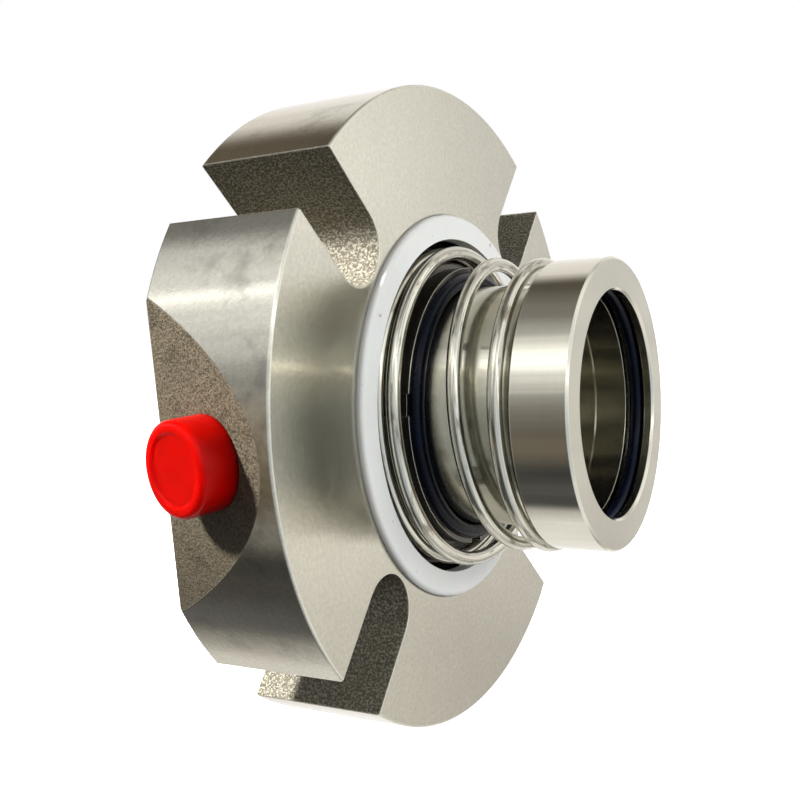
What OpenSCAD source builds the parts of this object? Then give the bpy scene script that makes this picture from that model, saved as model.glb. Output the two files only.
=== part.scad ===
// Cartridge mechanical seal, inboard side towards +X. The shaft axis is X and
// X = 0 is the machined inboard face of the gland plate.

/* [Shaft and sleeve] */
// diameter of the shaft the sleeve slides onto
shaft_d = 50; // [46:0.5:56]
// wall of the sleeve tube
sleeve_wall = 2.5; // [2.2:0.1:2.8]
// inboard end face of the sleeve
sleeve_front_x = 40; // [38:0.5:44]
// length of the sleeve behind the snap ring
sleeve_tail = 3; // [2:0.5:8]
// chamfer of the outer edges of the sleeve
sleeve_chamfer = 0.8; // [0.4:0.1:1]
// chamfer of the bore and of the end face
sleeve_edge = 0.5; // [0.3:0.1:0.8]
// radial wall of the thick inboard end of the sleeve
sleeve_head_wall = 7.2; // [6.8:0.1:8]
// length of the thick inboard end
sleeve_head_len = 13.1; // [12.6:0.1:14]
// width of the groove for the shaft ring
shaft_groove_w = 4.6; // [4.2:0.1:5]
// distance from the end face to that groove
shaft_groove_in = 2.2; // [1.8:0.1:2.6]
// section of the shaft ring
shaft_ring_d = 3.4; // [3:0.1:3.6]
// how far the shaft ring stands into the bore
shaft_ring_proud = 0.15; // [0.05:0.05:0.2]
// radial depth of the relief in the middle of the bore
bore_relief = 0.4; // [0.2:0.1:0.6]
// length of the front land of the bore
bore_front_land = 14.2; // [13:0.1:15]
// length of the rear land of the bore
bore_back_land = 22; // [18:0.5:26]

/* [Gland plate] */
// outside diameter of the gland plate
gland_d = 148; // [144:0.5:152]
// thickness of the gland plate
gland_t = 32; // [31:0.5:33]
// width of the four bolt slots
slot_w = 17; // [15:0.5:18]
// land between the gasket recess and the bottom of a slot
slot_land = 1.3; // [1:0.1:3]
// chamfer of the rim edges
rim_chamfer = 0.4; // [0.3:0.1:1]
// radial gap between the seal chamber and the face holder
chamber_gap = 1.4; // [1:0.1:2]
// depth of the seal chamber
chamber_depth = 14; // [13.6:0.1:14.8]
// thickness of the lip behind the seat
lip_t = 4; // [3.6:0.1:4.2]
// radial gap between that lip and the sleeve
lip_gap = 1.8; // [1.4:0.1:2.4]

/* [Flush port] */
// tilt of the cast flat towards the back
flat_tilt = 14; // [12:0.5:15]
// how far the flat lies inside the circle of the rim
flat_in = 1.5; // [1:0.1:2.5]
// diameter of the port thread
port_d = 13.2; // [12.6:0.1:13.6]
// depth of the port thread
port_depth = 14; // [13:0.5:15]
// drill from the port to the seal chamber
port_drill_d = 7; // [6:0.5:8]
// diameter of the plug head
plug_d = 18.8; // [18:0.1:20]
// height of the plug head
plug_h = 8.2; // [7:0.1:9]
// length of the plug shank
plug_shank = 11; // [9:0.5:12]
// radial clearance of the shank in the port
plug_fit = 0.08; // [0.05:0.01:0.1]
// rounding of the rim of the plug head
plug_round = 1.3; // [0.8:0.1:1.8]
// radial width of the rim around the dished face
plug_rim = 2.2; // [2:0.1:3]
// depth of the dished face of the plug
plug_dish = 0.5; // [0.3:0.1:0.8]
// wall of the hollow shank
plug_wall = 1.4; // [1:0.1:1.8]
// taper at the end of the shank
plug_taper = 0.8; // [0.4:0.1:1]
// depth of the hollow's floor under the head
plug_floor = 1.5; // [1:0.1:2.5]

/* [Gland gasket] */
// radial width of the gasket
gasket_w = 5.7; // [5:0.1:7]
// rounding of the outer edge of the gasket
gasket_round = 1; // [0.6:0.1:1.2]
// thickness of the gasket
gasket_t = 3; // [2.6:0.1:3.4]
// part of the gasket that stands proud of the gland
gasket_proud = 1.5; // [1.2:0.1:1.8]
// clearance around the gasket
gasket_fit = 0.1; // [0.05:0.05:0.2]

/* [Stationary seat] */
// radial gap between the seat and the sleeve
seat_gap = 1.2; // [0.8:0.1:1.6]
// radial wall of the seat
seat_wall = 7.6; // [7.4:0.1:8.4]
// how far the sealing face lies below the chamber floor
seat_drop = 1; // [0.5:0.1:1.5]
// clearance of the seat in its pocket
seat_fit = 0.2; // [0.1:0.05:0.3]
// section of the seat ring seal
seat_ring_d = 3.4; // [3.2:0.1:3.6]
// room behind the shoulder for the seat ring seal
seat_ring_room = 1.6; // [1.4:0.1:2.2]
// chamfer of the edges of the seat
seat_edge = 0.4; // [0.2:0.1:0.6]
// diameter of the anti-rotation pin
seat_pin_d = 2.4; // [2:0.1:2.6]
// how far the pin stands into the seat
seat_pin_in = 2.6; // [2:0.1:3]
// clearance of the slot around the pin
seat_pin_fit = 0.3; // [0.1:0.1:0.5]

/* [Rotary face] */
// length of the rotary face ring
face_len = 10; // [9.4:0.1:10.4]
// radial gap between the rotary face ring and the sleeve
face_gap = 1.3; // [1:0.1:1.8]
// radial wall of the rotary face ring
face_wall = 6.4; // [6:0.1:7.4]
// radial step down to the narrow sealing nose
face_nose_in = 2.2; // [1.6:0.1:2.6]
// length of the sealing nose
face_nose_len = 3; // [2.4:0.1:3.6]
// chamfer of the bore at the sealing face
face_nose_cut = 1.6; // [1:0.1:2]
// fit of the face ring in the holder cup
face_fit = 0.1; // [0.05:0.05:0.2]
// length of the face ring that stands out of the cup
cup_in = 4; // [3.6:0.1:4.6]
// wall of the holder cup
holder_wall = 2.3; // [2:0.1:2.8]
// chamfer of the edges of the holder
holder_edge = 0.4; // [0.2:0.1:0.6]
// front of the flange that carries the spring
holder_seat_x = -3; // [-3.4:0.1:-2.8]
// front of the holder hub, behind the dynamic ring
holder_hub_x = 3.3; // [3:0.1:3.6]
// front edge of the thin holder rim
holder_rim_x = 4.9; // [4.6:0.1:5.2]
// wall of the thin holder rim
holder_rim_t = 1.1; // [0.8:0.1:1.3]
// radial step from the rim out to the pilot that centres the spring
holder_pilot = 1.5; // [1.3:0.1:1.8]
// front of that pilot
holder_pilot_x = 0.5; // [0.2:0.1:0.8]
// radial gap between the holder hub and the sleeve
hub_gap = 0.5; // [0.3:0.1:0.8]
// width of the four drive notches in the rim
notch_w = 4.8; // [4:0.2:6]
// depth of the drive notches
notch_depth = 3.4; // [3:0.1:3.8]
// how far the notches run in behind the rim
notch_in = 1; // [0.6:0.1:1.4]
// turn of the rotary parts about the axis
rotary_angle = 171.3; // [150:0.1:190]
// section of the dynamic ring on the sleeve
dyn_ring_d = 3.5; // [3.3:0.1:3.6]
// running clearance of that ring on the sleeve
dyn_fit = 0.05; // [0.02:0.01:0.1]
// diameter of the pins that drive the face ring
face_pin_d = 2; // [1.6:0.1:2.4]
// how far a pin stands into the face ring
face_pin_in = 2.6; // [2:0.1:3]
// how far a pin is set into the holder hub
face_pin_set = 1.4; // [1:0.1:1.8]
// radial clearance of the holes in the face ring
face_pin_fit = 0.15; // [0.1:0.05:0.3]

/* [Spring] */
// wire diameter
wire_d = 3.2; // [2.8:0.1:3.3]
// radial gap between the large coils and the pilot of the holder
coil_pilot_gap = 0.5; // [0.3:0.1:0.6]
// radial gap between the small coils and the sleeve
coil_tube_gap = 2.4; // [2:0.1:2.6]
// turns from the lower end to the reference at the left
turns_before = 1.3; // [1.2:0.05:1.4]
// turns from the reference to the upper end
turns_after = 2.3; // [2.2:0.05:2.4]
// turns from the reference to the start of the taper
turns_to_taper = 0.2; // [0.15:0.05:0.3]
// turns over which the large coils taper to the small ones
turns_of_taper = 0.8; // [0.75:0.05:1.2]
// turns from the reference to the start of the open coils
turns_to_rise = -0.15; // [-0.2:0.05:-0.1]
// turns over which the coils are open
turns_of_rise = 2; // [1.8:0.05:2.1]
// rise per turn in the closed coils
closed_pitch = 3.45; // [3.4:0.05:3.6]

/* [Drive collar] */
// radial wall of the drive collar
collar_wall = 12.45; // [11.5:0.05:13]
// gap between the gland and the drive collar
collar_gap = 5; // [4:0.1:6]
// chamfer of the edges of the collar
collar_edge = 1; // [0.6:0.1:1.4]
// length of the drive collar
collar_len = 19.5; // [19:0.1:20.5]
// width of the clip groove
clip_groove_w = 6; // [5.8:0.1:6.4]
// depth of the clip groove
clip_groove_depth = 3; // [2.6:0.1:3.2]
// distance from the inboard face to the clip groove
clip_groove_in = 2.5; // [2.4:0.1:2.8]
// clearance of the collar on the sleeve
collar_fit = 0.05; // [0.03:0.01:0.1]
// thread diameter of the set screws
set_screw_d = 6; // [5:0.5:6]
// across flats of the set screw sockets
set_screw_af = 3; // [2.5:0.5:3]
// depth of the set screw sockets
set_socket = 3; // [2.5:0.5:4]
// how far the set screws are sunk in the collar
set_sunk = 1; // [0.5:0.1:2]
// step down to the dog point of a set screw
dog_step = 0.9; // [0.6:0.1:1.2]
// thickness of the snap ring behind the collar
snap_t = 1.5; // [1.3:0.1:1.7]
// depth of the snap ring groove in the sleeve
snap_groove = 0.9; // [0.7:0.1:1]
// how far the snap ring stands above the sleeve
snap_proud = 3; // [2.4:0.1:3.6]
// clearance of the snap ring in its groove
snap_fit = 0.1; // [0.05:0.05:0.2]
// gap between the ends of the snap ring
snap_split = 6; // [4:0.5:10]

/* [Setting clips] */
// turn of the clips from the lobe centres
clip_angle = 18; // [16:0.5:20]
// distance from the upright of a clip to its screw
clip_arm = 12.5; // [12:0.5:14]
// width of a clip
clip_w = 12; // [10:0.5:13]
// thickness of a clip
clip_t = 3; // [2.6:0.1:3.2]
// gap between the nose and the floor of the groove
clip_tip_gap = 0.9; // [0.6:0.1:1.4]
// gap between the upright of a clip and the collar
clip_post_gap = 3.5; // [3:0.1:4.5]
// thread diameter of the clip screws
clip_screw_d = 6; // [5:0.5:6]
// length of the clip screws in the gland
clip_screw_len = 10; // [8:0.5:12]
// spare depth of the threaded holes
clip_hole_spare = 1; // [0.5:0.5:2]
// across flats of the clip screw sockets
clip_screw_af = 4; // [3:0.5:5]
// depth of the clip screw sockets
clip_socket = 2.5; // [2:0.5:3]
// chamfer of the clip screw heads
clip_head_edge = 0.5; // [0.3:0.1:0.8]
// height of the clip screw heads
clip_head_h = 4; // [3.5:0.5:5]
// diameter of the clip screw heads
clip_head_d = 10; // [9:0.5:10.5]
// running clearance of a clip on its screw
clip_fit = 0.08; // [0.05:0.01:0.1]

/* [Hidden] */
$fn = 96;
eps = 0.01;
thread_gap = 0.05;
bore_r = shaft_d / 2;
tube_r = bore_r + sleeve_wall;
head_r = bore_r + sleeve_head_wall;
head_back_x = sleeve_front_x - sleeve_head_len;
ring_groove_r = bore_r - shaft_ring_proud + shaft_ring_d + thread_gap;
lip_r = tube_r + lip_gap;
seat_in_r = tube_r + seat_gap;
seat_r = seat_in_r + seat_wall;
pocket_r = seat_r + seat_fit;
lip_x = -gland_t + lip_t;
seat_face_x = -chamber_depth - seat_drop;
seat_back_x = lip_x;
seat_step_x = seat_back_x + seat_ring_d + seat_ring_room;
seat_neck_r = pocket_r - seat_ring_d - 2 * thread_gap;
seat_pin_r = (lip_r + seat_neck_r) / 2;
face_in_r = tube_r + face_gap;
face_r = face_in_r + face_wall;
face_pin_r = (face_in_r + face_r) / 2;
face_back_x = seat_face_x + face_len;
cup_x = seat_face_x + cup_in;
cup_in_r = face_r + face_fit;
holder_r = cup_in_r + holder_wall;
chamber_r = holder_r + chamber_gap;
gasket_in_r = chamber_r + gasket_fit;
gasket_r = gasket_in_r + gasket_w;
slot_bottom_r = gasket_r + gasket_fit + slot_land;
gland_r = gland_d / 2;
flat_off = gland_r - flat_in;
dyn_r = tube_r + dyn_fit + dyn_ring_d / 2;
rim_in_r = tube_r + dyn_fit + dyn_ring_d + thread_gap;
rim_out_r = rim_in_r + holder_rim_t;
pilot_r = rim_out_r + holder_pilot;
hub_bore_r = tube_r + hub_gap;
dyn_x = holder_hub_x + dyn_ring_d / 2 + thread_gap;
wire_r = wire_d / 2;
coil_big_r = pilot_r + coil_pilot_gap + wire_r;
coil_small_r = tube_r + coil_tube_gap + wire_r;
spring_low = holder_seat_x + wire_r;
spring_high = head_back_x - wire_r;
collar_r = tube_r + collar_fit + collar_wall;
collar_front_x = -gland_t - collar_gap;
collar_back_x = collar_front_x - collar_len;
sleeve_back_x = collar_back_x - snap_t - sleeve_tail;
snap_r = tube_r + snap_proud;
clip_groove_x = collar_front_x - clip_groove_in - clip_groove_w / 2;
screw_plane_x = (clip_groove_x - clip_groove_w / 2 + collar_back_x) / 2;
clip_tip_r = collar_r - clip_groove_depth + clip_tip_gap;
clip_post_r = collar_r + clip_post_gap;
clip_screw_r = clip_post_r + clip_arm;
clip_foot_x = -gland_t - clip_t;
clip_tip_arc = clip_screw_r - clip_tip_r;

// turns a profile drawn as (radius, x) about the shaft axis
module revolve() {
    rotate([0, 90, 0]) rotate_extrude($fn = 180) children();
}

// cylinder along X from x0 to x1
module bar(x0, x1, r, n = 96) {
    translate([x0, 0, 0]) rotate([0, 90, 0]) cylinder(h = x1 - x0, r = r, $fn = n);
}

// places a child at an angle from +Y towards +Z
module at(a) {
    rotate([a, 0, 0]) children();
}

// frame of the flush port: local -Y leaves the cast flat squarely
module port_frame() {
    rotate([0, 0, -flat_tilt]) children();
}

// cylinder along local -Y from depth d0 to d1, measured outwards from the origin
module port_bar(d0, d1, r) {
    translate([0, -d0, 0]) rotate([90, 0, 0]) cylinder(h = d1 - d0, r = r, $fn = 96);
}

module gland() {
    color([0.72, 0.70, 0.66]) difference() {
        revolve() polygon([
            [lip_r, -gland_t], [gland_r - rim_chamfer, -gland_t],
            [gland_r, -gland_t + rim_chamfer], [gland_r, -rim_chamfer],
            [gland_r - rim_chamfer, 0], [gasket_r + gasket_fit, 0],
            [gasket_r + gasket_fit, gasket_proud - gasket_t],
            [chamber_r, gasket_proud - gasket_t], [chamber_r, -chamber_depth],
            [pocket_r, -chamber_depth], [pocket_r, lip_x], [lip_r, lip_x]]);
        for (k = [0:3]) at(45 + 90 * k) {
            translate([0, slot_bottom_r + slot_w / 2, 0])
                bar(-gland_t - 1, 1, slot_w / 2);
            translate([-gland_t - 1, slot_bottom_r + slot_w / 2, -slot_w / 2])
                cube([gland_t + 2, gland_r, slot_w]);
        }
        port_frame() {
            translate([-gland_d / 2, -flat_off - gland_d, -gland_d / 2])
                cube(gland_d);
            port_bar(flat_off - port_depth, flat_off + 1, port_d / 2);
            port_bar(chamber_r - port_drill_d, flat_off - port_depth + eps,
                port_drill_d / 2);
        }
        for (k = [0:3]) at(clip_angle + 90 * k) translate([0, clip_screw_r, 0])
            bar(-gland_t - 1, -gland_t + clip_screw_len + clip_hole_spare,
                clip_screw_d / 2 + thread_gap);
        at(90) translate([0, seat_pin_r, 0])
            bar(-gland_t - 1, lip_x + 1, seat_pin_d / 2 + thread_gap);
    }
}

module gland_gasket() {
    color([0.86, 0.87, 0.88]) revolve() union() {
        translate([gasket_in_r, gasket_proud - gasket_t])
            square([gasket_w - gasket_round, gasket_t]);
        translate([gasket_in_r, gasket_proud - gasket_t])
            square([gasket_w, gasket_t - gasket_round]);
        translate([gasket_r - gasket_round, gasket_proud - gasket_round])
            circle(r = gasket_round, $fn = 48);
    }
}

module seat_ring() {
    color([0.20, 0.20, 0.21]) difference() {
        revolve() polygon([
            [seat_in_r, seat_back_x], [seat_neck_r - seat_edge, seat_back_x],
            [seat_neck_r, seat_back_x + seat_edge], [seat_neck_r, seat_step_x],
            [seat_r, seat_step_x], [seat_r, seat_face_x - seat_edge],
            [seat_r - seat_edge, seat_face_x], [seat_in_r, seat_face_x]]);
        at(90) translate([seat_back_x - 1, seat_in_r - 2,
                -seat_pin_d / 2 - seat_pin_fit])
            cube([1 + seat_pin_in + 2 * seat_pin_fit, seat_neck_r - seat_in_r + 3,
                seat_pin_d + 2 * seat_pin_fit]);
    }
}

module seat_oring() {
    color([0.06, 0.06, 0.07]) revolve()
        translate([pocket_r - seat_ring_d / 2 - thread_gap, seat_back_x + seat_ring_d / 2 + 0.3])
            circle(d = seat_ring_d, $fn = 48);
}

module seat_pin() {
    color([0.75, 0.75, 0.73]) at(90) translate([0, seat_pin_r, 0])
        bar(-gland_t + seat_edge, lip_x + seat_pin_in, seat_pin_d / 2, 48);
}

// push-in plug with a rounded head and a hollow shank
module flush_plug() {
    head_r = plug_d / 2;
    shank_r = port_d / 2 - plug_fit;
    color([0.85, 0.03, 0.03]) port_frame() translate([0, -flat_off, 0]) rotate([90, 0, 0])
        rotate_extrude($fn = 120) union() {
            polygon([[0, plug_h - plug_dish], [0, -plug_floor],
                [shank_r - plug_wall, -plug_floor], [shank_r - plug_wall, -plug_shank],
                [shank_r - plug_taper, -plug_shank],
                [shank_r, -plug_shank + 2.5 * plug_taper], [shank_r, 0],
                [head_r, 0], [head_r, plug_h - plug_round],
                [head_r - plug_round, plug_h - plug_round],
                [head_r - plug_round, plug_h], [head_r - plug_rim, plug_h],
                [head_r - plug_rim - plug_dish, plug_h - plug_dish]]);
            translate([head_r - plug_round, plug_h - plug_round])
                circle(r = plug_round, $fn = 48);
        }
}

module face_ring() {
    nose_r = face_r - face_nose_in;
    nose_x = seat_face_x + face_nose_len;
    color([0.12, 0.12, 0.13]) difference() {
        revolve() polygon([
            [face_in_r + face_nose_cut, seat_face_x], [nose_r, seat_face_x],
            [nose_r, nose_x], [face_r, nose_x], [face_r, face_back_x],
            [face_in_r, face_back_x], [face_in_r, seat_face_x + face_nose_cut]]);
        for (k = [0, 1]) at(rotary_angle + 90 + 180 * k)
            translate([0, face_pin_r, 0])
                bar(face_back_x - face_pin_in - 2 * face_pin_fit, face_back_x + 1,
                    face_pin_d / 2 + face_pin_fit, 48);
    }
}

// cup around the face ring, spring flange, pilot, hub and thin notched rim
module face_holder() {
    color([0.42, 0.40, 0.38]) difference() {
        revolve() polygon([
            [cup_in_r, cup_x], [holder_r - holder_edge, cup_x],
            [holder_r, cup_x + holder_edge], [holder_r, holder_seat_x - holder_edge],
            [holder_r - holder_edge, holder_seat_x],
            [pilot_r, holder_seat_x], [pilot_r, holder_pilot_x - holder_edge],
            [pilot_r - holder_edge, holder_pilot_x],
            [rim_out_r, holder_pilot_x], [rim_out_r, holder_rim_x],
            [rim_in_r, holder_rim_x], [rim_in_r, holder_hub_x],
            [hub_bore_r, holder_hub_x], [hub_bore_r, face_back_x],
            [cup_in_r, face_back_x]]);
        for (k = [0:3]) at(rotary_angle + 90 * k)
            translate([holder_rim_x - notch_depth, rim_in_r - notch_in, -notch_w / 2])
                cube([notch_depth + 1, holder_rim_t + notch_in + 1, notch_w]);
        for (k = [0, 1]) at(rotary_angle + 90 + 180 * k)
            translate([0, face_pin_r, 0])
                bar(face_back_x - 1, face_back_x + face_pin_set + 2 * thread_gap,
                    face_pin_d / 2 + thread_gap, 48);
    }
}

module face_pins() {
    color([0.75, 0.75, 0.73]) for (k = [0, 1]) at(rotary_angle + 90 + 180 * k)
        translate([0, face_pin_r, 0])
            bar(face_back_x - face_pin_in, face_back_x + face_pin_set,
                face_pin_d / 2, 48);
}

module face_oring() {
    color([0.05, 0.08, 0.16]) revolve()
        translate([dyn_r, dyn_x]) circle(d = dyn_ring_d, $fn = 72);
}

// The coil spring: one wire swept along a tapered helix. The reference turn
// 0 is at the left of the seal; the ends are closed against flange and head.
function ease(t) = let (c = min(1, max(0, t))) c * c * (3 - 2 * c);
function coil_r(t) = coil_small_r
    + (coil_big_r - coil_small_r) * (1 - ease((t - turns_to_taper) / turns_of_taper));
coil_open = spring_high - spring_low - closed_pitch * (turns_before + turns_after);
function coil_x(t) = spring_low + closed_pitch * (t + turns_before)
    + coil_open * ease((t - turns_to_rise) / turns_of_rise);
module spring() {
    steps = 144;
    sides = 16;
    span = turns_before + turns_after;
    pts = [for (i = [0:steps], j = [0:sides - 1])
        let (t = -turns_before + span * i / steps, a = rotary_angle + 360 * t,
            p = 360 * j / sides, r = coil_r(t) + wire_r * cos(p))
        [coil_x(t) + wire_r * sin(p), r * cos(a), r * sin(a)]];
    walls = [for (i = [0:steps - 1], j = [0:sides - 1])
        let (a = i * sides + j, b = i * sides + (j + 1) % sides)
        [a, a + sides, b + sides, b]];
    low = [[for (j = [0:sides - 1]) j]];
    high = [[for (j = [sides - 1:-1:0]) steps * sides + j]];
    color([0.80, 0.79, 0.76]) polyhedron(points = pts, faces = concat(walls, low, high));
}

module sleeve() {
    back_land_x = sleeve_back_x + bore_back_land;
    front_land_x = sleeve_front_x - bore_front_land;
    groove_x1 = sleeve_front_x - shaft_groove_in;
    groove_x0 = groove_x1 - shaft_groove_w;
    relief_r = bore_r + bore_relief;
    color([0.74, 0.73, 0.70]) difference() {
        revolve() polygon([
            [bore_r + sleeve_edge, sleeve_back_x], [tube_r - sleeve_chamfer, sleeve_back_x],
            [tube_r, sleeve_back_x + sleeve_chamfer], [tube_r, head_back_x],
            [head_r - sleeve_chamfer, head_back_x], [head_r, head_back_x + sleeve_chamfer],
            [head_r, sleeve_front_x - sleeve_edge], [head_r - sleeve_edge, sleeve_front_x],
            [bore_r + sleeve_edge, sleeve_front_x], [bore_r, sleeve_front_x - sleeve_edge],
            [bore_r, groove_x1], [ring_groove_r, groove_x1],
            [ring_groove_r, groove_x0], [bore_r, groove_x0],
            [bore_r, front_land_x], [relief_r, front_land_x - bore_relief],
            [relief_r, back_land_x + bore_relief], [bore_r, back_land_x],
            [bore_r, sleeve_back_x + sleeve_edge]]);
        revolve() translate([tube_r - snap_groove, collar_back_x - snap_t - snap_fit])
            square([snap_groove + 1, snap_t + snap_fit]);
        for (k = [0:3]) at(45 + 90 * k) translate([screw_plane_x, 0, 0])
            rotate([-90, 0, 0]) translate([0, 0, bore_r - 1])
                cylinder(h = sleeve_wall + 2, r = set_screw_d / 2 + 2 * thread_gap,
                    $fn = 64);
    }
}

module sleeve_oring() {
    color([0.05, 0.08, 0.16]) revolve()
        translate([bore_r - shaft_ring_proud + shaft_ring_d / 2,
                sleeve_front_x - shaft_groove_in - shaft_groove_w / 2])
            circle(d = shaft_ring_d, $fn = 60);
}

module drive_collar() {
    r = collar_r;
    g0 = clip_groove_x - clip_groove_w / 2;
    g1 = clip_groove_x + clip_groove_w / 2;
    color([0.72, 0.71, 0.68]) difference() {
        revolve() polygon([
            [tube_r + collar_fit, collar_back_x], [r - collar_edge, collar_back_x],
            [r, collar_back_x + collar_edge], [r, g0], [r - clip_groove_depth, g0],
            [r - clip_groove_depth, g1], [r, g1], [r, collar_front_x - collar_edge],
            [r - collar_edge, collar_front_x], [tube_r + collar_fit, collar_front_x]]);
        for (k = [0:3]) at(45 + 90 * k) translate([screw_plane_x, 0, 0])
            rotate([-90, 0, 0]) translate([0, 0, tube_r - 1])
                cylinder(h = collar_wall + 2, r = set_screw_d / 2 + thread_gap, $fn = 64);
    }
}

// set screws with hexagon sockets and dog points in the holes of the sleeve
module set_screws() {
    color([0.30, 0.30, 0.31]) for (k = [0:3]) at(45 + 90 * k)
        translate([screw_plane_x, 0, 0]) rotate([-90, 0, 0]) difference() {
            union() {
                translate([0, 0, tube_r]) cylinder(h = collar_r - tube_r - set_sunk,
                    r = set_screw_d / 2, $fn = 64);
                translate([0, 0, bore_r + sleeve_edge]) cylinder(h = sleeve_wall,
                    r = set_screw_d / 2 - dog_step, $fn = 48);
            }
            translate([0, 0, collar_r - set_sunk - set_socket])
                cylinder(h = set_socket + 1, r = set_screw_af / sqrt(3), $fn = 6);
        }
}

module snap_ring() {
    color([0.25, 0.25, 0.26]) difference() {
        revolve() translate([tube_r - snap_groove + snap_fit, collar_back_x - snap_t])
            square([snap_proud + snap_groove - snap_fit, snap_t]);
        at(90) translate([collar_back_x - snap_t - 1, 0, -snap_split / 2])
            cube([snap_t + 2, snap_r + 1, snap_split]);
    }
}

module clip_screws() {
    color([0.70, 0.70, 0.68]) for (k = [0:3]) at(clip_angle + 90 * k)
        translate([0, clip_screw_r, 0]) difference() {
            union() {
                bar(-gland_t - clip_t - eps, -gland_t + clip_screw_len,
                    clip_screw_d / 2, 64);
                bar(clip_foot_x - clip_head_h + clip_head_edge, clip_foot_x,
                    clip_head_d / 2, 64);
                bar(clip_foot_x - clip_head_h, clip_foot_x,
                    clip_head_d / 2 - clip_head_edge, 64);
            }
            translate([clip_foot_x - clip_head_h - 1, 0, 0]) rotate([0, 90, 0])
                cylinder(h = clip_socket + 1, r = clip_screw_af / sqrt(3), $fn = 6);
        }
}

// bent clip: foot on the gland, upright, and a nose in the collar groove
module clip() {
    nose_x = clip_groove_x;
    difference() {
        union() {
            translate([clip_foot_x, clip_post_r, -clip_w / 2])
                cube([clip_t, clip_screw_r - clip_post_r, clip_w]);
            translate([0, clip_screw_r, 0])
                bar(clip_foot_x, -gland_t, clip_w / 2, 72);
            translate([nose_x - clip_t / 2, clip_post_r, -clip_w / 2])
                cube([-gland_t - nose_x + clip_t / 2, clip_t, clip_w]);
            intersection() {
                translate([nose_x - clip_t / 2, clip_tip_r - 3, -clip_w / 2])
                    cube([clip_t, clip_post_r - clip_tip_r + 4, clip_w]);
                translate([0, clip_screw_r, 0])
                    bar(nose_x - clip_t, nose_x + clip_t, clip_tip_arc, 144);
            }
        }
        translate([0, clip_screw_r, 0])
            bar(clip_foot_x - 1, -gland_t + 1, clip_screw_d / 2 + clip_fit, 64);
    }
}

module clip_1() { color([0.68, 0.67, 0.64]) at(clip_angle) clip(); }
module clip_2() { color([0.68, 0.67, 0.64]) at(clip_angle + 90) clip(); }
module clip_3() { color([0.68, 0.67, 0.64]) at(clip_angle + 180) clip(); }
module clip_4() { color([0.68, 0.67, 0.64]) at(clip_angle + 270) clip(); }

gland();
gland_gasket();
seat_ring();
seat_oring();
seat_pin();
flush_plug();
face_ring();
face_holder();
face_pins();
face_oring();
spring();
sleeve();
sleeve_oring();
drive_collar();
set_screws();
snap_ring();
clip_screws();
clip_1();
clip_2();
clip_3();
clip_4();
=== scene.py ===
import math

import bpy
from bpy.props import FloatProperty, FloatVectorProperty, IntProperty, PointerProperty
from mathutils import Matrix, Quaternion, Vector


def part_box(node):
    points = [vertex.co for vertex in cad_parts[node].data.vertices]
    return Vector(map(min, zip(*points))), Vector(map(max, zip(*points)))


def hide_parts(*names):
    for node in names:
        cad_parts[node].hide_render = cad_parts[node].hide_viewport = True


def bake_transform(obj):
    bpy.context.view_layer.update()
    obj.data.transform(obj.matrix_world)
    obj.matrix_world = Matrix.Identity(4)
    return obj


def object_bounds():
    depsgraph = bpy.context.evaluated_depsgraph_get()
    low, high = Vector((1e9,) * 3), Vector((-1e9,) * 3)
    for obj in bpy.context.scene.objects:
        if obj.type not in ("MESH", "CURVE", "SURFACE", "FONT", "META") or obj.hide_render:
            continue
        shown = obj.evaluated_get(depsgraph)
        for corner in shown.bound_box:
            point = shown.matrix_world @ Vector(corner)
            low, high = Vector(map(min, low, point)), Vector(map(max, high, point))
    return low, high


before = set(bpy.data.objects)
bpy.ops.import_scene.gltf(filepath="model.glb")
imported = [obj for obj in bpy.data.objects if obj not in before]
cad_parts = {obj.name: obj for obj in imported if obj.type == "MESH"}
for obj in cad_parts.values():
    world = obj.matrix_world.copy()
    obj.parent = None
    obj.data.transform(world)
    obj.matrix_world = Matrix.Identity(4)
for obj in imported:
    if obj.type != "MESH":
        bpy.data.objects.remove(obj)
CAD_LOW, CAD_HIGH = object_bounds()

bl_info = {
    "name": "Cartridge Seal Finishes",
    "version": (1, 0, 0),
    "blender": (4, 5, 0),
    "location": "View3D > Sidebar > Cartridge Seal",
    "description": "Finishes, coil spring and studio for a cartridge mechanical seal",
    "category": "Object",
}

MM = 0.001
DIAGONAL = math.cos(math.radians(45))

# Places that the finishes share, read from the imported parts.
GLAND_LOW, GLAND_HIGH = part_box("gland")
SPRING_LOW, SPRING_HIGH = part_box("spring")
RIM_RADIUS = GLAND_HIGH.z
GASKET_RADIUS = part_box("gland_gasket")[1].z

# Margin of the masks that tell the slot walls from the turned faces.
MASK_GAP = 0.02 * MM


# Sizes and colours that a user would change.

class GlandSettings(bpy.types.PropertyGroup):
    """Places and colours of the gland plate's finish."""
    slot_width: FloatProperty(
        name="Slot width", description="Width of the four bolt slots",
        default=17 * MM, min=0.01, max=0.03, unit="LENGTH")
    flat_tilt: FloatProperty(
        name="Flat tilt", description="Tilt of the cast flat towards the back",
        default=math.radians(14), min=0.0, max=0.5, subtype="ANGLE")
    flat_inset: FloatProperty(
        name="Flat inset", description="How far the cast flat lies inside the rim circle",
        default=1.5 * MM, min=0.0, max=0.01, unit="LENGTH")
    steel: FloatVectorProperty(
        name="Steel", description="Colour of the machined gland",
        default=(0.575, 0.56, 0.485), min=0.0, max=1.0, subtype="COLOR", size=3)
    cast: FloatVectorProperty(
        name="Cast skin", description="Colour of the rough cast walls",
        default=(0.108, 0.089, 0.061), min=0.0, max=1.0, subtype="COLOR", size=3)


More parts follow.
